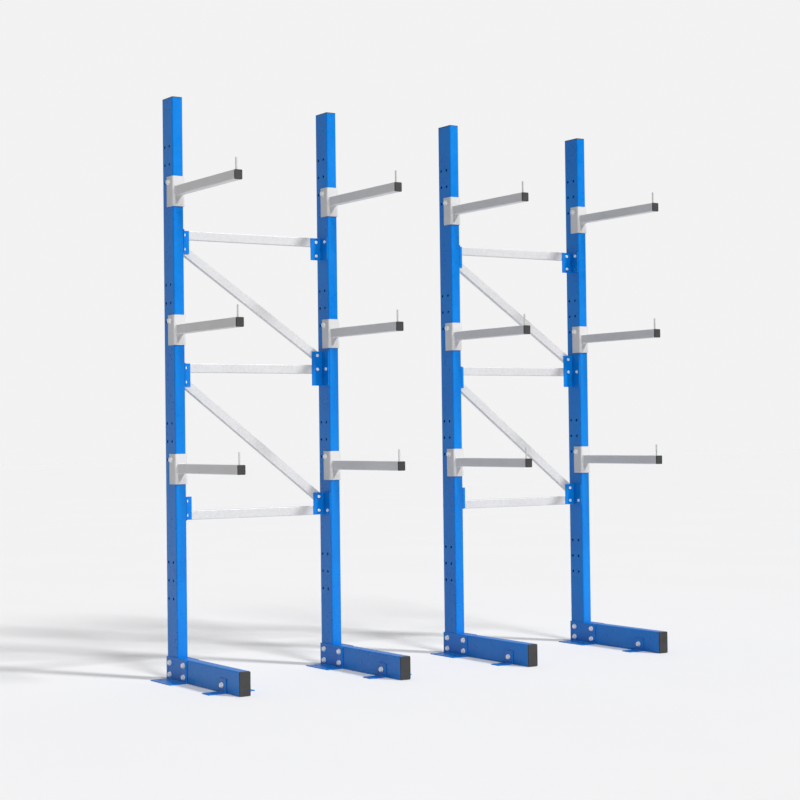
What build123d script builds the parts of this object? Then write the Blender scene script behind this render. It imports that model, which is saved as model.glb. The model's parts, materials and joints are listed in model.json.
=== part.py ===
from build123d import *
import os
from typing import NamedTuple

# Cantilever rack: four uprights in two braced pairs, three levels of arms, forward bases.
# Millimetres. +X runs along the rack, the arms point towards -Y, +Z is up.
# The origin is on the floor, in the middle of the rack's footprint.

# ---- Driving dimensions ----
UPRIGHT_HEIGHT = 2500
UPRIGHT_WIDTH = 50
UPRIGHT_DEPTH = 100
UPRIGHT_WALL = 3
UPRIGHT_CORNER = 7

BRACED_BAY = 770          # between the uprights of one braced pair
OPEN_BAY = 680            # between the two pairs

BASE_REACH = 560          # from the upright's front face to the tip of the base
BASE_HEIGHT = 100
BASE_WALL = 3
BASE_CORNER = 6

ROW_PITCH = 78            # between the hole rows of one group
ROWS_PER_GROUP = 3
GROUP_PITCH = 596         # between hole groups, and so between arm levels
LOWEST_ROW = 349
HOLE_COLUMNS = (33, 77)   # behind the upright's front face

ARM_REACH = 550           # from the upright's front face to the arm's tip
ARM_WIDTH = 35
ARM_HEIGHT = 40
ARM_WALL = 2.5
ARM_CORNER = 4
ARM_TOP_BELOW_BOLT = 18

SADDLE_PLATE = 4
SADDLE_CORNER = 3
SADDLE_CLEARANCE = 0.5
SADDLE_FLANGE = 52        # behind the upright's front face
SADDLE_BELOW_BOLT = 105
SADDLE_ABOVE_BOLT = 25
WELD_ROOT_GAP = 0.2

PIN_DIAMETER = 8
PIN_SPIGOT_DIAMETER = 6
PIN_STAND = 52            # above the arm's top face
PIN_SETBACK = 20          # behind the arm's tip
PIN_RADIAL_CLEARANCE = 0.1
PIN_CHAMFER = 1

CAP_FACE = 6              # thickness of the end caps of arms and bases
TOP_CAP_FACE = 4
CAP_WALL = 2
CAP_CLEARANCE = 0.3
CAP_EDGE = 2
ARM_CAP_INSERT = 8
BASE_CAP_INSERT = 14
TOP_CAP_INSERT = 14

FOOT_PLATE = 4
FOOT_BEND = 3
FOOT_FLANGE = 80          # sideways from the upright's face
REAR_FOOT_HEIGHT = 100
REAR_FOOT_LENGTH = 190
REAR_FOOT_BOLT_HEIGHTS = (25, 75)
REAR_FOOT_BOLT_INSET = 65  # from the upright's front face, both ways
FRONT_FOOT_HEIGHT = 60
FRONT_FOOT_LENGTH = 60
FRONT_FOOT_SETBACK = 145   # from the base's tip to the middle of the foot
FRONT_FOOT_BOLT_HEIGHT = 32
ANCHOR_HOLE_DIAMETER = 14
ANCHOR_HOLE_INSET = 50     # sideways from the upright's face
REAR_ANCHOR_SPACING = 120

BRACKET_PLATE = 4
BRACKET_BEND = 2
BRACKET_LEG = 54           # sideways from the upright's face
TALL_BRACKET_HEIGHT = 155
BRACKET_SIDE_LEG = (3, 64)  # front and back edge, behind the upright's front face
BRACKET_EDGE = 19          # from the bracket's end to its bolt
BRACE_BOLT_PITCH = 62
BRACE_BOLT_OFFSET = 28     # sideways from the upright's face
SCREW_INSET = 20           # behind the upright's front face

CHANNEL_HEIGHT = 40
CHANNEL_DEPTH = 20
CHANNEL_WALL = 2
CHANNEL_BEND = 1
HORIZONTAL_OVERHANG = 20   # past the bolt
DIAGONAL_OVERHANG = 18
TOP_BRACE_HEIGHT = 1917
MID_BRACE_HEIGHT = 1341
BOTTOM_BRACE_HEIGHT = 703

CONTACT_GAP = 0.05         # between fasteners and the faces they bear on
HOLE_ALLOWANCE = 1         # bolt holes over the bolt's diameter
TURNED_SHARE = 0.95        # flat end of a bolt head or nut, as a share of its width
BOLT_END_CHAMFER = 0.1     # as a share of the bolt's diameter

# ---- Places worked out from them ----
OUTER_UPRIGHT = OPEN_BAY / 2 + BRACED_BAY
INNER_UPRIGHT = OPEN_BAY / 2
UPRIGHT_X = {1: -OUTER_UPRIGHT, 2: -INNER_UPRIGHT, 3: INNER_UPRIGHT, 4: OUTER_UPRIGHT}
BRACED_SIDE = {1: 1, 2: -1, 3: 1, 4: -1}   # the side of each upright that carries brackets
HALF_WIDTH = UPRIGHT_WIDTH / 2
FRONT = (BASE_REACH - UPRIGHT_DEPTH) / 2   # Y of the uprights' front faces
BACK = FRONT + UPRIGHT_DEPTH
BASE_TIP = FRONT - BASE_REACH
ARM_TIP = FRONT - ARM_REACH
LEVELS = {"low": 1, "mid": 2, "top": 3}    # hole group that carries each arm level
BRACE_PLANE = FRONT + BRACKET_SIDE_LEG[1]  # Y where the braces meet the brackets
SADDLE_FACE = FRONT - SADDLE_CLEARANCE - SADDLE_PLATE


def row_height(group, row):
    """Height of one row of upright holes."""
    return LOWEST_ROW + group * GROUP_PITCH + row * ROW_PITCH


def saddle_bolt_height(level):
    """Each arm hangs on the lowest row of its group."""
    return row_height(LEVELS[level], 0)


def arm_top_height(level):
    return saddle_bolt_height(level) - ARM_TOP_BELOW_BOLT


# ---- Planes ----
def side_plane(x):
    """Looks along +X; its own x and y are the rack's Y and Z."""
    return Plane(origin=(x, 0, 0), x_dir=(0, 1, 0), z_dir=(1, 0, 0))


def front_plane(y):
    """Looks along -Y; its own x and y are the rack's X and Z."""
    return Plane(origin=(0, y, 0), x_dir=(1, 0, 0), z_dir=(0, -1, 0))


def tube_plane(x, y, z):
    """Section plane of a tube that runs forwards."""
    return Plane(origin=(x, y, z), x_dir=(1, 0, 0), z_dir=(0, -1, 0))


# ---- Steps shared by several pieces; each adds to the part that is being built ----
def add_tube(plane, width, height, corner, wall, length):
    with BuildSketch(plane) as section:
        RectangleRounded(width, height, corner)
        RectangleRounded(width - 2 * wall, height - 2 * wall, corner - wall, mode=Mode.SUBTRACT)
    extrude(section.sketch, amount=length)


def cut_holes(plane, centres, diameter, depth):
    with BuildSketch(plane) as holes:
        with Locations(*centres):
            Circle(diameter / 2)
    extrude(holes.sketch, amount=depth, mode=Mode.SUBTRACT)


def end_cap(width, height, corner, wall, face, insert):
    """Cap over a tube's end at Z = 0: a rounded face above and a hollow plug below."""
    plug_width = width - 2 * wall - 2 * CAP_CLEARANCE
    plug_height = height - 2 * wall - 2 * CAP_CLEARANCE
    with BuildPart() as cap:
        with BuildSketch():
            RectangleRounded(width, height, corner)
        extrude(amount=face)
        fillet(faces().sort_by(Axis.Z)[-1].edges(), radius=CAP_EDGE)
        with BuildSketch():
            RectangleRounded(plug_width, plug_height, corner - wall)
            Rectangle(plug_width - 2 * CAP_WALL, plug_height - 2 * CAP_WALL, mode=Mode.SUBTRACT)
        extrude(amount=-insert)
    return cap.part


def angle_section(plane, leg_x, leg_y, plate, bend):
    """Section of a bent angle with its outer corner at the plane's origin."""
    with BuildSketch(plane) as section:
        with BuildLine():
            Polyline((0, 0), (leg_x, 0), (leg_x, plate), (plate, plate),
                     (plate, leg_y), (0, leg_y), close=True)
        make_face()
        outer_corner = vertices().sort_by_distance((0, 0))[0]
        fillet(outer_corner, radius=bend + plate)
        inner_corner = vertices().sort_by_distance((plate, plate))[0]
        fillet(inner_corner, radius=bend)
    return section.sketch


def channel_section(plane):
    """Section of a brace: web on the plane's y axis, flanges towards its +x."""
    inside = CHANNEL_HEIGHT / 2 - CHANNEL_WALL
    with BuildSketch(plane) as section:
        with BuildLine():
            Polyline((0, -CHANNEL_HEIGHT / 2), (CHANNEL_DEPTH, -CHANNEL_HEIGHT / 2),
                     (CHANNEL_DEPTH, -inside), (CHANNEL_WALL, -inside),
                     (CHANNEL_WALL, inside), (CHANNEL_DEPTH, inside),
                     (CHANNEL_DEPTH, CHANNEL_HEIGHT / 2), (0, CHANNEL_HEIGHT / 2), close=True)
        make_face()
        outer_corners = vertices().group_by(Axis.X)[0]
        fillet(outer_corners, radius=CHANNEL_BEND + CHANNEL_WALL)
        inner_corners = [
            vertices().sort_by_distance((CHANNEL_WALL, side * inside))[0]
            for side in (-1, 1)
        ]
        fillet(inner_corners, radius=CHANNEL_BEND)
    return section.sketch


# ---- Fasteners, made once along +Z and placed by location ----
def hex_body(width, height, chamfer_both):
    """Hexagon with its corners turned off by a 30 degree cone."""
    corner_radius = width / 3 ** 0.5
    turned_radius = width * TURNED_SHARE / 2
    turned_height = (corner_radius - turned_radius) / 3 ** 0.5
    profile = [(corner_radius, height - turned_height), (turned_radius, height), (0, height), (0, 0)]
    if chamfer_both:
        profile += [(turned_radius, 0), (corner_radius, turned_height)]
    else:
        profile += [(corner_radius, 0)]
    with BuildPart() as body:
        with BuildSketch():
            RegularPolygon(width / 2, 6, major_radius=False)
        extrude(amount=height)
        with BuildSketch(Plane.XZ):
            with BuildLine():
                Polyline(*profile, close=True)
            make_face()
        revolve(axis=Axis.Z, mode=Mode.INTERSECT)
    return body.part


def washer_body(diameter, outside, thickness):
    with BuildPart() as washer:
        with BuildSketch():
            Circle(outside / 2)
            Circle((diameter + HOLE_ALLOWANCE / 2) / 2, mode=Mode.SUBTRACT)
        extrude(amount=thickness)
    return washer.part


class Fastener:
    """A bolt size: seats lie on the plate's face, +Z points out of the head."""

    def __init__(self, diameter, across_flats, head, nut, washer_outside, washer):
        self.diameter = diameter
        self.washer = washer
        self.washer_part = washer_body(diameter, washer_outside, washer)
        self.across_flats = across_flats
        self.head = head
        self.nut = nut
        self.hole = diameter + HOLE_ALLOWANCE

    def bolt(self, grip, nut_tail, head_washer=True):
        """Bolt through a grip measured from the head's side, ending past the nut."""
        seat = self.washer + 2 * CONTACT_GAP if head_washer else CONTACT_GAP
        reach = grip + self.washer + 2 * CONTACT_GAP + nut_tail
        with BuildPart() as bolt:
            with BuildSketch(Plane.XY.offset(-reach)):
                Circle(self.diameter / 2)
            extrude(amount=reach + seat)
            chamfer(faces().sort_by(Axis.Z)[0].edges(), length=self.diameter * BOLT_END_CHAMFER)
            with Locations((0, 0, seat)):
                add(hex_body(self.across_flats, self.head, False))
            if head_washer:
                with Locations((0, 0, CONTACT_GAP)):
                    add(self.washer_part)
        return bolt.part

    def nut_set(self):
        """Nut and washer, seated on the far face, +Z pointing away from the plate."""
        with BuildPart() as nut:
            add(hex_body(self.across_flats, self.nut, True))
            with BuildSketch():
                Circle(self.diameter / 2 + CONTACT_GAP)
            extrude(amount=self.nut, mode=Mode.SUBTRACT)
        with BuildPart() as pair:
            with Locations((0, 0, self.washer + 2 * CONTACT_GAP)):
                add(nut.part)
            with Locations((0, 0, CONTACT_GAP)):
                add(self.washer_part)
        return pair.part


M12 = Fastener(diameter=12, across_flats=18, head=7.5, nut=10, washer_outside=24, washer=2.5)
M8 = Fastener(diameter=8, across_flats=13, head=5.3, nut=6.5, washer_outside=16, washer=1.6)
NUT_TAIL = 13              # bolt length past the far washer seat, M12
SMALL_NUT_TAIL = 9.5       # the same for M8
SCREW_LENGTH = 20


def save(builder, name):
    builder.part.label = name
    export_step(builder.part, f"parts/{name}.step")


def facing(x, y, z, direction):
    """Location of a fastener whose head points along direction."""
    return Plane(origin=(x, y, z), z_dir=direction).location


# ---- Brackets: where they are and which bolts they take ----
class BracketPlan(NamedTuple):
    """One bracket: its ends, the height of the screw in the upright, and its bolt heights."""
    low_end: float
    high_end: float
    screw: float
    bolts: tuple


def bracket_plans(number):
    """The three brackets of one upright. Each takes a horizontal brace and a diagonal one."""
    step = BRACED_SIDE[number] * -BRACE_BOLT_PITCH
    plans = []
    for height, other in (
        (TOP_BRACE_HEIGHT, TOP_BRACE_HEIGHT - BRACE_BOLT_PITCH),
        (MID_BRACE_HEIGHT, MID_BRACE_HEIGHT + step),
        (BOTTOM_BRACE_HEIGHT, BOTTOM_BRACE_HEIGHT + BRACE_BOLT_PITCH),
    ):
        low_end = min(height, other) - BRACKET_EDGE
        high_end = max(height, other) + BRACKET_EDGE
        if height == MID_BRACE_HEIGHT and other > height:
            low_end = high_end - TALL_BRACKET_HEIGHT
        plans.append(BracketPlan(low_end, high_end, height, (height, other)))
    return plans


def brace_bolt_x(number):
    return UPRIGHT_X[number] + BRACED_SIDE[number] * (HALF_WIDTH + BRACE_BOLT_OFFSET)


os.makedirs("parts", exist_ok=True)

# ---- Uprights ----
for number, x in UPRIGHT_X.items():
    side = BRACED_SIDE[number]
    row_holes = [
        (FRONT + column, row_height(group, row))
        for column in HOLE_COLUMNS
        for group in range(len(LEVELS) + 1)
        for row in range(ROWS_PER_GROUP)
    ]
    foot_holes = [(FRONT + REAR_FOOT_BOLT_INSET, height) for height in REAR_FOOT_BOLT_HEIGHTS]
    screw_holes = [(FRONT + SCREW_INSET, plan.screw) for plan in bracket_plans(number)]
    with BuildPart() as upright:
        add_tube(Plane(origin=(x, (FRONT + BACK) / 2, 0)), UPRIGHT_WIDTH, UPRIGHT_DEPTH,
                 UPRIGHT_CORNER, UPRIGHT_WALL, UPRIGHT_HEIGHT)
        cut_holes(side_plane(x - HALF_WIDTH), row_holes + foot_holes, M12.hole, UPRIGHT_WIDTH)
        cut_holes(side_plane(x), screw_holes, M8.diameter + 2 * CONTACT_GAP, side * HALF_WIDTH)
    save(upright, f"upright_{number}")

top_cap = end_cap(UPRIGHT_WIDTH, UPRIGHT_DEPTH, UPRIGHT_CORNER, UPRIGHT_WALL, TOP_CAP_FACE, TOP_CAP_INSERT)
with BuildPart() as upright_caps:
    with Locations(*[(x, (FRONT + BACK) / 2, UPRIGHT_HEIGHT) for x in UPRIGHT_X.values()]):
        add(top_cap)
save(upright_caps, "upright_caps")

# ---- Bases ----
base_foot_y = BASE_TIP + FRONT_FOOT_SETBACK
for number, x in UPRIGHT_X.items():
    rear_holes = [(FRONT - REAR_FOOT_BOLT_INSET, height) for height in REAR_FOOT_BOLT_HEIGHTS]
    front_holes = [(base_foot_y, FRONT_FOOT_BOLT_HEIGHT)]
    with BuildPart() as base:
        add_tube(tube_plane(x, FRONT, BASE_HEIGHT / 2), UPRIGHT_WIDTH, BASE_HEIGHT, BASE_CORNER,
                 BASE_WALL, BASE_REACH - CAP_FACE)
        cut_holes(side_plane(x - HALF_WIDTH), rear_holes + front_holes, M12.hole, UPRIGHT_WIDTH)
    save(base, f"base_{number}")

base_cap = end_cap(UPRIGHT_WIDTH, BASE_HEIGHT, BASE_CORNER, BASE_WALL, CAP_FACE, BASE_CAP_INSERT)
with BuildPart() as base_caps:
    with Locations(*[tube_plane(x, BASE_TIP + CAP_FACE, BASE_HEIGHT / 2) for x in UPRIGHT_X.values()]):
        add(base_cap)
save(base_caps, "base_caps")


# ---- Feet ----
def add_foot(x, y, side, height, length, bolt_holes, anchor_spacing):
    """Angle beside the base: one leg on its side, the other on the floor, drilled for anchors."""
    face_x = x + side * HALF_WIDTH
    plane = Plane(origin=(face_x, y, 0), x_dir=(side, 0, 0), z_dir=(0, -side, 0))
    extrude(angle_section(plane, FOOT_FLANGE, height, FOOT_PLATE, FOOT_BEND), amount=length / 2, both=True)
    cut_holes(side_plane(face_x), bolt_holes, M12.hole, side * FOOT_PLATE)
    anchors = {(face_x + side * ANCHOR_HOLE_INSET, y + step * anchor_spacing / 2) for step in (-1, 1)}
    cut_holes(Plane.XY, sorted(anchors), ANCHOR_HOLE_DIAMETER, FOOT_PLATE)


rear_foot_y = BACK - REAR_FOOT_LENGTH / 2
rear_bolts = [
    (FRONT + step * REAR_FOOT_BOLT_INSET, height)
    for step in (-1, 1)
    for height in REAR_FOOT_BOLT_HEIGHTS
]
for number, x in UPRIGHT_X.items():
    with BuildPart() as rear_feet:
        for side in (-1, 1):
            add_foot(x, rear_foot_y, side, REAR_FOOT_HEIGHT, REAR_FOOT_LENGTH, rear_bolts,
                     REAR_ANCHOR_SPACING)
    save(rear_feet, f"rear_feet_{number}")

front_bolts = [(base_foot_y, FRONT_FOOT_BOLT_HEIGHT)]
with BuildPart() as front_feet:
    for x in UPRIGHT_X.values():
        for side in (-1, 1):
            add_foot(x, base_foot_y, side, FRONT_FOOT_HEIGHT, FRONT_FOOT_LENGTH, front_bolts, 0)
save(front_feet, "front_feet")


# ---- Arms: a tube welded to a saddle that wraps the upright's front ----
def add_saddle(x, bolt_height):
    inside = HALF_WIDTH + SADDLE_CLEARANCE
    outside = inside + SADDLE_PLATE
    back = FRONT + SADDLE_FLANGE
    with BuildSketch(Plane.XY.offset(bolt_height - SADDLE_BELOW_BOLT)) as section:
        with BuildLine():
            Polyline((x - outside, back), (x - outside, SADDLE_FACE), (x + outside, SADDLE_FACE),
                     (x + outside, back), (x + inside, back), (x + inside, FRONT - SADDLE_CLEARANCE),
                     (x - inside, FRONT - SADDLE_CLEARANCE), (x - inside, back), close=True)
        make_face()
        outer_corners = vertices().group_by(Axis.Y)[0]
        fillet(outer_corners, radius=SADDLE_CORNER + SADDLE_PLATE)
        inner_corners = [
            vertices().sort_by_distance((x + side * inside, FRONT - SADDLE_CLEARANCE))[0]
            for side in (-1, 1)
        ]
        fillet(inner_corners, radius=SADDLE_CORNER)
    extrude(section.sketch, amount=SADDLE_BELOW_BOLT + SADDLE_ABOVE_BOLT)
    bolt_centre = [(FRONT + HOLE_COLUMNS[0], bolt_height)]
    cut_holes(side_plane(x - outside), bolt_centre, M12.hole, 2 * outside)


pin_y = ARM_TIP + PIN_SETBACK
arm_start = SADDLE_FACE - WELD_ROOT_GAP
arm_length = arm_start - ARM_TIP - CAP_FACE
for level in LEVELS:
    top = arm_top_height(level)
    for number, x in UPRIGHT_X.items():
        with BuildPart() as arm:
            add_saddle(x, saddle_bolt_height(level))
            add_tube(tube_plane(x, arm_start, top - ARM_HEIGHT / 2), ARM_WIDTH, ARM_HEIGHT,
                     ARM_CORNER, ARM_WALL, arm_length)
            pin_centre = [(x, pin_y)]
            pin_hole = PIN_DIAMETER + 2 * PIN_RADIAL_CLEARANCE
            spigot_hole = PIN_SPIGOT_DIAMETER + 2 * PIN_RADIAL_CLEARANCE
            cut_holes(Plane.XY.offset(top), pin_centre, pin_hole, -ARM_HEIGHT / 2)
            cut_holes(Plane.XY.offset(top), pin_centre, spigot_hole, -ARM_HEIGHT)
        save(arm, f"arm_{level}_{number}")

arm_cap = end_cap(ARM_WIDTH, ARM_HEIGHT, ARM_CORNER, ARM_WALL, CAP_FACE, ARM_CAP_INSERT)
arm_tips = [
    tube_plane(x, ARM_TIP + CAP_FACE, arm_top_height(level) - ARM_HEIGHT / 2)
    for level in LEVELS
    for x in UPRIGHT_X.values()
]
with BuildPart() as arm_caps:
    with Locations(*arm_tips):
        add(arm_cap)
save(arm_caps, "arm_caps")

# ---- Stop pins: dropped into the arm, shoulder on its lower wall, free to lift out ----
for level in LEVELS:
    top = arm_top_height(level)
    shoulder = top - ARM_HEIGHT + ARM_WALL + CONTACT_GAP
    for number, x in UPRIGHT_X.items():
        with BuildPart() as stop_pin:
            with BuildSketch(Plane(origin=(x, pin_y, shoulder))):
                Circle(PIN_DIAMETER / 2)
            extrude(amount=top + PIN_STAND - shoulder)
            chamfer(faces().sort_by(Axis.Z)[-1].edges(), length=PIN_CHAMFER)
            with BuildSketch(Plane(origin=(x, pin_y, shoulder))):
                Circle(PIN_SPIGOT_DIAMETER / 2)
            extrude(amount=-ARM_WALL)
        save(stop_pin, f"stop_pin_{level}_{number}")


# ---- Bracing ----
def add_brace(start, end, overhang):
    """Channel between two bolts, given as (x, z); its web lies against the brackets' backs."""
    run = Vector(end[0] - start[0], 0, end[1] - start[1])
    direction = run.normalized()
    origin = Vector(start[0], BRACE_PLANE, start[1]) - direction * overhang
    plane = Plane(origin=origin, x_dir=(0, 1, 0), z_dir=direction)
    extrude(channel_section(plane), amount=run.length + 2 * overhang)
    bolts = [(start[0], start[1]), (end[0], end[1])]
    cut_holes(front_plane(BRACE_PLANE), bolts, M8.hole, -CHANNEL_WALL)


PAIRS = {"left": (1, 2), "right": (3, 4)}
for pair, (first, second) in PAIRS.items():
    start_x = brace_bolt_x(first)
    end_x = brace_bolt_x(second)
    horizontals = {"top": TOP_BRACE_HEIGHT, "mid": MID_BRACE_HEIGHT, "bottom": BOTTOM_BRACE_HEIGHT}
    for place, height in horizontals.items():
        with BuildPart() as horizontal:
            add_brace((start_x, height), (end_x, height), HORIZONTAL_OVERHANG)
        save(horizontal, f"horizontal_brace_{place}_{pair}")
    diagonals = {
        "upper": (TOP_BRACE_HEIGHT - BRACE_BOLT_PITCH, MID_BRACE_HEIGHT + BRACE_BOLT_PITCH),
        "lower": (MID_BRACE_HEIGHT - BRACE_BOLT_PITCH, BOTTOM_BRACE_HEIGHT + BRACE_BOLT_PITCH),
    }
    for place, (start_height, end_height) in diagonals.items():
        with BuildPart() as diagonal:
            add_brace((start_x, start_height), (end_x, end_height), DIAGONAL_OVERHANG)
        save(diagonal, f"diagonal_brace_{place}_{pair}")


def add_bracket(x, side, plan):
    """Angle with one leg on the upright's side and one leg standing out for the braces."""
    face_x = x + side * HALF_WIDTH
    side_leg = BRACKET_SIDE_LEG[1] - BRACKET_SIDE_LEG[0]
    middle = (plan.low_end + plan.high_end) / 2
    plane = Plane(origin=(face_x, BRACE_PLANE, middle), x_dir=(side, 0, 0), z_dir=(0, 0, -side))
    section = angle_section(plane, BRACKET_LEG, side_leg, BRACKET_PLATE, BRACKET_BEND)
    extrude(section, amount=(plan.high_end - plan.low_end) / 2, both=True)
    bolts = [(face_x + side * BRACE_BOLT_OFFSET, height) for height in plan.bolts]
    screw = [(FRONT + SCREW_INSET, plan.screw)]
    cut_holes(front_plane(BRACE_PLANE), bolts, M8.hole, BRACKET_PLATE)
    cut_holes(side_plane(face_x), screw, M8.hole, side * BRACKET_PLATE)


for number, x in UPRIGHT_X.items():
    with BuildPart() as brackets:
        for plan in bracket_plans(number):
            add_bracket(x, BRACED_SIDE[number], plan)
    save(brackets, f"brace_brackets_{number}")

# ---- Fasteners ----
left = (-1, 0, 0)
right = (1, 0, 0)
forward = (0, -1, 0)
backward = (0, 1, 0)

foot_bolt_centres = rear_bolts + front_bolts
foot_face = HALF_WIDTH + FOOT_PLATE
foot_bolt = M12.bolt(grip=2 * foot_face, nut_tail=NUT_TAIL)
with BuildPart() as foot_bolts:
    with Locations(*[
        facing(x - foot_face, y, z, left)
        for x in UPRIGHT_X.values()
        for y, z in foot_bolt_centres
    ]):
        add(foot_bolt)
save(foot_bolts, "foot_bolts")

nut_set = M12.nut_set()
with BuildPart() as foot_nuts:
    with Locations(*[
        facing(x + foot_face, y, z, right)
        for x in UPRIGHT_X.values()
        for y, z in foot_bolt_centres
    ]):
        add(nut_set)
save(foot_nuts, "foot_nuts")

saddle_side = HALF_WIDTH + SADDLE_CLEARANCE + SADDLE_PLATE
saddle_bolt_y = FRONT + HOLE_COLUMNS[0]
saddle_bolt = M12.bolt(grip=2 * saddle_side, nut_tail=NUT_TAIL)
with BuildPart() as saddle_bolts:
    with Locations(*[
        facing(x - saddle_side, saddle_bolt_y, saddle_bolt_height(level), left)
        for x in UPRIGHT_X.values()
        for level in LEVELS
    ]):
        add(saddle_bolt)
save(saddle_bolts, "saddle_bolts")

with BuildPart() as saddle_nuts:
    with Locations(*[
        facing(x + saddle_side, saddle_bolt_y, saddle_bolt_height(level), right)
        for x in UPRIGHT_X.values()
        for level in LEVELS
    ]):
        add(nut_set)
save(saddle_nuts, "saddle_nuts")


def nut_seat(number, bolt_height):
    """Y of the face a brace nut bears on: the channel's web, or the bare bracket."""
    spare_bolt = BOTTOM_BRACE_HEIGHT + BRACE_BOLT_PITCH
    if BRACED_SIDE[number] < 0:
        spare_bolt = TOP_BRACE_HEIGHT - BRACE_BOLT_PITCH
    if bolt_height == spare_bolt:
        return BRACE_PLANE
    return BRACE_PLANE + CHANNEL_WALL


brace_bolt = M8.bolt(grip=BRACKET_PLATE + CHANNEL_WALL, nut_tail=SMALL_NUT_TAIL, head_washer=False)
bracket_screw = M8.bolt(grip=0, nut_tail=SCREW_LENGTH, head_washer=False)
head_places = [
    facing(brace_bolt_x(number), BRACE_PLANE - BRACKET_PLATE, bolt_height, forward)
    for number in UPRIGHT_X
    for plan in bracket_plans(number)
    for bolt_height in plan.bolts
]
screw_places = [
    facing(x + BRACED_SIDE[number] * (HALF_WIDTH + BRACKET_PLATE), FRONT + SCREW_INSET, plan.screw,
           (BRACED_SIDE[number], 0, 0))
    for number, x in UPRIGHT_X.items()
    for plan in bracket_plans(number)
]
with BuildPart() as brace_bolts:
    with Locations(*head_places):
        add(brace_bolt)
    with Locations(*screw_places):
        add(bracket_screw)
save(brace_bolts, "brace_bolts")

nut_places = [
    facing(brace_bolt_x(number), nut_seat(number, bolt_height), bolt_height, backward)
    for number in UPRIGHT_X
    for plan in bracket_plans(number)
    for bolt_height in plan.bolts
]
with BuildPart() as brace_nuts:
    with Locations(*nut_places):
        add(M8.nut_set())
save(brace_nuts, "brace_nuts")
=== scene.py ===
import bpy
import bmesh
import json
import math
from mathutils import Matrix, Vector, noise


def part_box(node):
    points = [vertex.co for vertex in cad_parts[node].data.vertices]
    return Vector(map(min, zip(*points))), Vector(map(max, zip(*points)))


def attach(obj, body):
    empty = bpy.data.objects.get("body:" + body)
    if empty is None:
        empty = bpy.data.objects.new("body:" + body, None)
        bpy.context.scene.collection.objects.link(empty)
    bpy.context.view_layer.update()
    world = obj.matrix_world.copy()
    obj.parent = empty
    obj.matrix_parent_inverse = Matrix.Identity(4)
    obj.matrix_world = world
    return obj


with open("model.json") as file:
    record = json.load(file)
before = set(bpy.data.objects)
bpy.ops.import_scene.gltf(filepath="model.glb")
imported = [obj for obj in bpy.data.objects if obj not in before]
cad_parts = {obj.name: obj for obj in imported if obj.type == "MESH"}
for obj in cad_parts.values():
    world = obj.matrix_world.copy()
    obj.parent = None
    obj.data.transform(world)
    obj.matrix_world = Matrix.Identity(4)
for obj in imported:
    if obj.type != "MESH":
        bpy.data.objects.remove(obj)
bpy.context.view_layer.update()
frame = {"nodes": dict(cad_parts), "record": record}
nodes = frame["nodes"]
record = frame["record"]

# ---- Weld beads, in metres ----
BEAD_LEG = 0.0035
BEAD_FACETS = 5            # across the bead
BEAD_STEPS = 140           # round the tube
BEAD_BULGE = 0.12          # of the leg
BEAD_ROUNDNESS = 1.5       # 1 is a circle, more is hollower
RIPPLE_DEPTH = 0.09        # of the leg
RIPPLES_PER_STEP = 3 / 7
UNEVENNESS = 0.3           # of the leg
UNEVENNESS_SCALE = 90      # per metre

# ---- Arm sizes, as in the CAD ----
ARM_WIDTH = 0.035
ARM_HEIGHT = 0.040
ARM_CORNER = 0.004
SADDLE_FACE = 0.2255       # Y of the plate that the arm is welded to
SADDLE_ABOVE_ARM = 0.043   # from the arm's top face to the saddle's upper edge

# ---- Dust streaks: scale along each axis, small along the streak ----
UPWARDS = (60.0, 60.0, 2.2)
FORWARDS = (60.0, 2.2, 60.0)

# ---- Studio ----
FLOOR_REACH = 60
WORLD_FRONT = 0.06         # light from in front of the rack
WORLD_BACK = 0.50          # light from behind it
WORLD_SEEN = 0.89          # the backdrop, as the camera sees it
WORLD_BLEND = (-0.3, 0.5)  # Y of the directions where the front ends and the back starts

# ---- Camera ----
CAMERA_PLACE = (-4.476, -6.621, 1.0459)
YAW = math.radians(33.242)
PITCH = math.radians(1.082)
ROLL = math.radians(-0.706)
LENS_MM = 79.64
SENSOR_MM = 36


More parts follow.
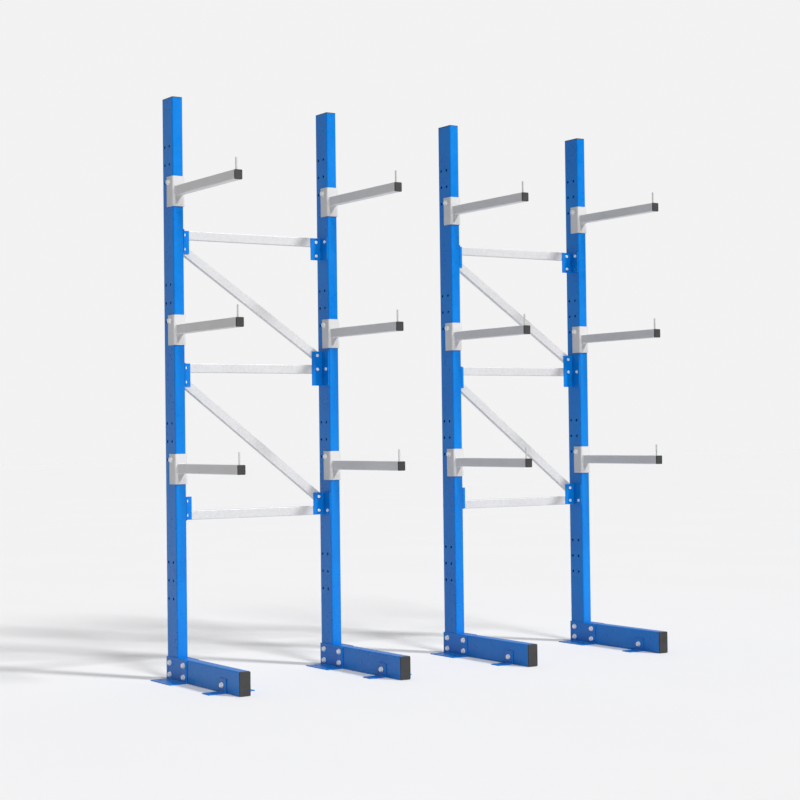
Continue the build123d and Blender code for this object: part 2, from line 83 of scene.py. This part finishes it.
# ---- Node helpers ----
class Shader:
    """A material's node tree, with short calls for the nodes used here."""

    MIX_INPUTS = (0, 6, 7)     # a Mix node's share and its two colours
    MIX_OUTPUT = 2             # and its resulting colour

    def __init__(self, name):
        self.material = bpy.data.materials.new(name)
        self.material.use_nodes = True
        self.tree = self.material.node_tree
        self.bsdf = self.tree.nodes["Principled BSDF"]
        self.position = self.tree.nodes.new("ShaderNodeTexCoord").outputs["Object"]

    def add(self, kind, **inputs):
        node = self.tree.nodes.new(kind)
        for key, value in inputs.items():
            self.put(node.inputs[key], value)
        return node

    def put(self, socket, value):
        if isinstance(value, bpy.types.NodeSocket):
            self.tree.links.new(value, socket)
        else:
            socket.default_value = value

    def noise(self, scale, detail=4.0, roughness=0.55, distortion=0.0, vector=None):
        node = self.add("ShaderNodeTexNoise", Vector=vector or self.position, Scale=scale,
                        Detail=detail, Roughness=roughness, Distortion=distortion)
        return node.outputs["Fac"]

    def stretched(self, x, y, z):
        """Object coordinates scaled unevenly, for streaks."""
        return self.add("ShaderNodeMapping", Vector=self.position, Scale=(x, y, z)).outputs["Vector"]

    def ramp(self, value, start, end, first=0.0, last=1.0):
        """first where the value is at start, last where it is at end, and even in between."""
        node = self.add("ShaderNodeMapRange", Value=value)
        node.inputs["From Min"].default_value = start
        node.inputs["From Max"].default_value = end
        node.inputs["To Min"].default_value = first
        node.inputs["To Max"].default_value = last
        return node.outputs["Result"]

    def math(self, operation, first, second):
        node = self.tree.nodes.new("ShaderNodeMath")
        node.operation = operation
        self.put(node.inputs[0], first)
        self.put(node.inputs[1], second)
        return node.outputs["Value"]

    def mix(self, share, first, second):
        node = self.tree.nodes.new("ShaderNodeMix")
        node.data_type = "RGBA"
        for number, value in zip(self.MIX_INPUTS, (share, first, second)):
            self.put(node.inputs[number], value)
        return node.outputs[self.MIX_OUTPUT]

    def bump(self, value, strength, distance, normal=None):
        node = self.add("ShaderNodeBump", Height=value, Strength=strength, Distance=distance)
        if normal is not None:
            self.tree.links.new(normal, node.inputs["Normal"])
        return node.outputs["Normal"]

    def edges(self, radius):
        """1 on sharp edges, 0 on flat faces."""
        bevel = self.add("ShaderNodeBevel", Radius=radius)
        bevel.samples = 4
        geometry = self.tree.nodes.new("ShaderNodeNewGeometry")
        dot = self.tree.nodes.new("ShaderNodeVectorMath")
        dot.operation = "DOT_PRODUCT"
        self.tree.links.new(bevel.outputs["Normal"], dot.inputs[0])
        self.tree.links.new(geometry.outputs["Normal"], dot.inputs[1])
        return self.ramp(dot.outputs["Value"], start=0.995, end=0.86)


# ---- Materials ----
def powder_coat(name, colour, dusty, dark, roughness, specular, run):
    """Satin powder coat: fine orange peel, faint streaks of dust and a few rubbed edges."""
    s = Shader(name)
    clouds = s.noise(scale=3.1, detail=5.0, roughness=0.62)
    fine = s.noise(scale=46.0, detail=3.0)
    streaks = s.noise(scale=1.0, detail=4.0, vector=s.stretched(*run))
    shade = s.mix(s.ramp(clouds, start=0.34, end=0.68), dark, colour)
    shade = s.mix(s.ramp(streaks, start=0.50, end=0.78, last=0.16), shade, dusty)
    scuffs = s.noise(scale=21.0, detail=7.0, roughness=0.7, distortion=0.6)
    wear = s.ramp(scuffs, start=0.56, end=0.66, last=0.5)
    shade = s.mix(s.math("MULTIPLY", s.edges(radius=0.0016), wear), shade, dusty)
    s.put(s.bsdf.inputs["Base Color"], shade)
    sheen = s.ramp(s.math("ADD", clouds, fine), start=0.7, end=1.3,
                   first=roughness - 0.07, last=roughness + 0.1)
    s.put(s.bsdf.inputs["Roughness"], sheen)
    s.bsdf.inputs["Specular IOR Level"].default_value = specular
    peel = s.noise(scale=620.0, detail=2.0, roughness=0.5)
    normal = s.bump(peel, strength=0.16, distance=0.0004)
    waves = s.noise(scale=9.0, detail=2.0)
    s.put(s.bsdf.inputs["Normal"], s.bump(waves, strength=0.12, distance=0.0012, normal=normal))
    return s.material


def galvanised(name, light, dark, roughness, spangle_scale, metallic):
    """Zinc on steel: small spangles and dull clouds."""
    s = Shader(name)
    spangle = s.add("ShaderNodeTexVoronoi", Vector=s.position, Scale=spangle_scale)
    grain = s.add("ShaderNodeSeparateColor", Color=spangle.outputs["Color"]).outputs["Red"]
    clouds = s.noise(scale=6.0, detail=6.0, roughness=0.6)
    mixed = s.math("ADD", s.math("MULTIPLY", grain, 0.35), s.math("MULTIPLY", clouds, 0.75))
    s.put(s.bsdf.inputs["Base Color"], s.mix(s.ramp(mixed, start=0.3, end=0.75), dark, light))
    s.bsdf.inputs["Metallic"].default_value = metallic
    sheen = s.ramp(mixed, start=0.3, end=0.8, first=roughness + 0.06, last=roughness - 0.03)
    s.put(s.bsdf.inputs["Roughness"], sheen)
    s.put(s.bsdf.inputs["Normal"], s.bump(mixed, strength=0.04, distance=0.0005))
    return s.material


def moulded(name, colour, worn, roughness):
    """Matt moulded plastic with a fine spark-eroded grain and handling marks."""
    s = Shader(name)
    clouds = s.noise(scale=14.0, detail=6.0, roughness=0.65)
    s.put(s.bsdf.inputs["Base Color"], s.mix(s.ramp(clouds, start=0.35, end=0.75), colour, worn))
    sheen = s.ramp(clouds, start=0.3, end=0.7, first=roughness, last=roughness - 0.12)
    s.put(s.bsdf.inputs["Roughness"], sheen)
    grain = s.noise(scale=900.0, detail=2.0)
    s.put(s.bsdf.inputs["Normal"], s.bump(grain, strength=0.25, distance=0.0003))
    return s.material


FINISH = {
    "blue_powder_coat": powder_coat(
        "blue powder coat", colour=(0.000, 0.195, 0.640, 1), dusty=(0.006, 0.25, 0.67, 1),
        dark=(0.000, 0.160, 0.575, 1), roughness=0.30, specular=0.26, run=UPWARDS),
    "grey_powder_coat": powder_coat(
        "grey powder coat", colour=(0.62, 0.62, 0.625, 1), dusty=(0.70, 0.70, 0.70, 1),
        dark=(0.56, 0.56, 0.565, 1), roughness=0.40, specular=0.36, run=FORWARDS),
    "galvanised_steel": galvanised(
        "galvanised sheet", light=(0.64, 0.64, 0.645, 1), dark=(0.56, 0.56, 0.57, 1),
        roughness=0.42, spangle_scale=130.0, metallic=0.25),
    "zinc_plate": galvanised(
        "zinc plate", light=(0.93, 0.93, 0.92, 1), dark=(0.78, 0.78, 0.78, 1),
        roughness=0.30, spangle_scale=260.0, metallic=0.3),
    "pin_steel": galvanised(
        "pin steel", light=(0.72, 0.72, 0.71, 1), dark=(0.58, 0.58, 0.57, 1),
        roughness=0.34, spangle_scale=420.0, metallic=0.4),
    "dark_plastic": moulded(
        "dark plastic", colour=(0.019, 0.019, 0.020, 1), worn=(0.036, 0.036, 0.037, 1),
        roughness=0.62),
}
slot_of = {part["node"]: part["material_slot"] for part in record["subparts"]}
for name, node in nodes.items():
    node.data.materials.clear()
    node.data.materials.append(FINISH[slot_of[name]])


# ---- Weld beads: painted over with the arm, so they share its finish ----
def tube_outline(half_width, half_height, corner, count):
    """Points evenly spaced round a rounded rectangle, each with its outward direction."""
    straight_x = half_width - corner
    straight_z = half_height - corner
    quarter_turn = math.pi / 2
    arc = quarter_turn * corner
    sides = (2 * straight_z, arc, 2 * straight_x, arc)
    total = 2 * sum(sides)
    points = []
    for step in range(count):
        along = total * step / count
        side = 0
        while along > sides[side % 4]:
            along -= sides[side % 4]
            side += 1
        turn = quarter_turn * (side // 2)
        if side % 2:
            angle = turn + along / corner
            outward = Vector((math.cos(angle), 0, math.sin(angle)))
            middle = turn + quarter_turn / 2
            centre = Vector((math.copysign(straight_x, math.cos(middle)), 0,
                             math.copysign(straight_z, math.sin(middle))))
            points.append((centre + outward * corner, outward))
        else:
            outward = Vector((math.cos(turn), 0, math.sin(turn)))
            ahead = Vector((-math.sin(turn), 0, math.cos(turn)))
            reach = half_width if side % 4 == 0 else half_height
            points.append((outward * reach + ahead * (along - sides[side % 4] / 2), outward))
    return points


def weld_bead(name, centre, half_width, half_height, corner):
    """Fillet weld round a tube that stands on a plate and points along -Y."""
    mesh = bpy.data.meshes.new(name)
    work = bmesh.new()
    rings = []
    outline = tube_outline(half_width, half_height, corner, BEAD_STEPS)
    for number, (point, outward) in enumerate(outline):
        place = centre + point
        ripple = math.sin(number * math.tau * RIPPLES_PER_STEP) * RIPPLE_DEPTH
        leg = BEAD_LEG * (1 + ripple + UNEVENNESS * noise.noise(place * UNEVENNESS_SCALE))
        ring = []
        for step in range(BEAD_FACETS + 1):
            angle = math.pi / 2 * step / BEAD_FACETS
            bulge = leg * (1 + BEAD_BULGE * math.sin(2 * angle))
            on_plate = outward * (bulge * math.cos(angle) ** BEAD_ROUNDNESS)
            on_tube = Vector((0, -bulge * math.sin(angle) ** BEAD_ROUNDNESS, 0))
            ring.append(work.verts.new(place + on_plate + on_tube))
        rings.append(ring)
    for number, ring in enumerate(rings):
        following = rings[(number + 1) % len(rings)]
        for step in range(BEAD_FACETS):
            work.faces.new((ring[step], ring[step + 1], following[step + 1], following[step]))
    bmesh.ops.recalc_face_normals(work, faces=work.faces)
    for face in work.faces:
        face.smooth = True
    work.to_mesh(mesh)
    work.free()
    bead = bpy.data.objects.new(name, mesh)
    bpy.context.scene.collection.objects.link(bead)
    mesh.materials.append(FINISH["grey_powder_coat"])
    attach(bead, "frame")


for arm_name in sorted(name for name in nodes if name.startswith("arm_") and name != "arm_caps"):
    arm_low, arm_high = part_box(arm_name)
    middle_x = (arm_low.x + arm_high.x) / 2
    middle_z = arm_high.z - SADDLE_ABOVE_ARM - ARM_HEIGHT / 2
    root = Vector((middle_x, SADDLE_FACE, middle_z))
    weld_bead("weld_" + arm_name, root, ARM_WIDTH / 2, ARM_HEIGHT / 2, ARM_CORNER)


# ---- Studio ----
def studio_floor():
    """A plain pale floor."""
    mesh = bpy.data.meshes.new("floor")
    corners = [(-1, -1), (1, -1), (1, 1), (-1, 1)]
    mesh.from_pydata([(x * FLOOR_REACH, y * FLOOR_REACH, 0) for x, y in corners], [], [(0, 1, 2, 3)])
    floor = bpy.data.objects.new("floor", mesh)
    bpy.context.scene.collection.objects.link(floor)
    s = Shader("studio floor")
    clouds = s.noise(scale=0.7, detail=3.0)
    s.put(s.bsdf.inputs["Base Color"], s.mix(clouds, (0.84, 0.84, 0.85, 1), (0.87, 0.87, 0.88, 1)))
    s.bsdf.inputs["Roughness"].default_value = 0.8
    s.bsdf.inputs["Specular IOR Level"].default_value = 0.2
    mesh.materials.append(s.material)


def studio_world():
    """Pale to the camera. As a light it is dim in front of the rack and brighter behind it."""
    world = bpy.data.worlds.new("studio")
    bpy.context.scene.world = world
    world.use_nodes = True
    tree = world.node_tree
    background = tree.nodes["Background"]
    background.inputs["Color"].default_value = (1, 1, 1, 1)
    direction = tree.nodes.new("ShaderNodeTexCoord")
    parts = tree.nodes.new("ShaderNodeSeparateXYZ")
    tree.links.new(direction.outputs["Generated"], parts.inputs[0])
    around = tree.nodes.new("ShaderNodeMapRange")
    around.inputs["From Min"].default_value, around.inputs["From Max"].default_value = WORLD_BLEND
    around.inputs["To Min"].default_value = WORLD_FRONT
    around.inputs["To Max"].default_value = WORLD_BACK
    tree.links.new(parts.outputs["Y"], around.inputs["Value"])
    path = tree.nodes.new("ShaderNodeLightPath")
    strength = tree.nodes.new("ShaderNodeMapRange")
    strength.inputs["To Max"].default_value = WORLD_SEEN
    tree.links.new(path.outputs["Is Camera Ray"], strength.inputs["Value"])
    tree.links.new(around.outputs["Result"], strength.inputs["To Min"])
    tree.links.new(strength.outputs["Result"], background.inputs["Strength"])


def sun(name, azimuth, elevation, strength, softness):
    """Even light. In degrees: azimuth to the right of straight in front, elevation and width."""
    data = bpy.data.lights.new(name, "SUN")
    data.energy = strength
    data.angle = math.radians(softness)
    a = math.radians(azimuth)
    e = math.radians(elevation)
    towards = Vector((math.sin(a) * math.cos(e), -math.cos(a) * math.cos(e), math.sin(e)))
    light = bpy.data.objects.new(name, data)
    light.rotation_euler = (-towards).to_track_quat("-Z", "Y").to_euler()
    bpy.context.scene.collection.objects.link(light)


def studio_camera():
    """Looks along yaw, to the right of +Y, and pitch, upwards, and is then rolled."""
    forward = Vector((math.sin(YAW) * math.cos(PITCH), math.cos(YAW) * math.cos(PITCH), math.sin(PITCH)))
    right = Vector((math.cos(YAW), -math.sin(YAW), 0))
    up = right.cross(forward)
    camera_x = math.cos(ROLL) * right + math.sin(ROLL) * up
    camera_y = -math.sin(ROLL) * right + math.cos(ROLL) * up
    data = bpy.data.cameras.new("camera")
    data.lens = LENS_MM
    data.sensor_width = SENSOR_MM
    camera = bpy.data.objects.new("camera", data)
    axes = Matrix((camera_x, camera_y, -forward)).transposed()
    camera.matrix_world = Matrix.Translation(CAMERA_PLACE) @ axes.to_4x4()
    bpy.context.scene.collection.objects.link(camera)
    bpy.context.scene.camera = camera


studio_floor()
studio_world()
sun("key", azimuth=30, elevation=38, strength=2.5, softness=9)
sun("fill", azimuth=-5, elevation=40, strength=1.6, softness=12)
bpy.context.scene.view_settings.view_transform = "Standard"
studio_camera()
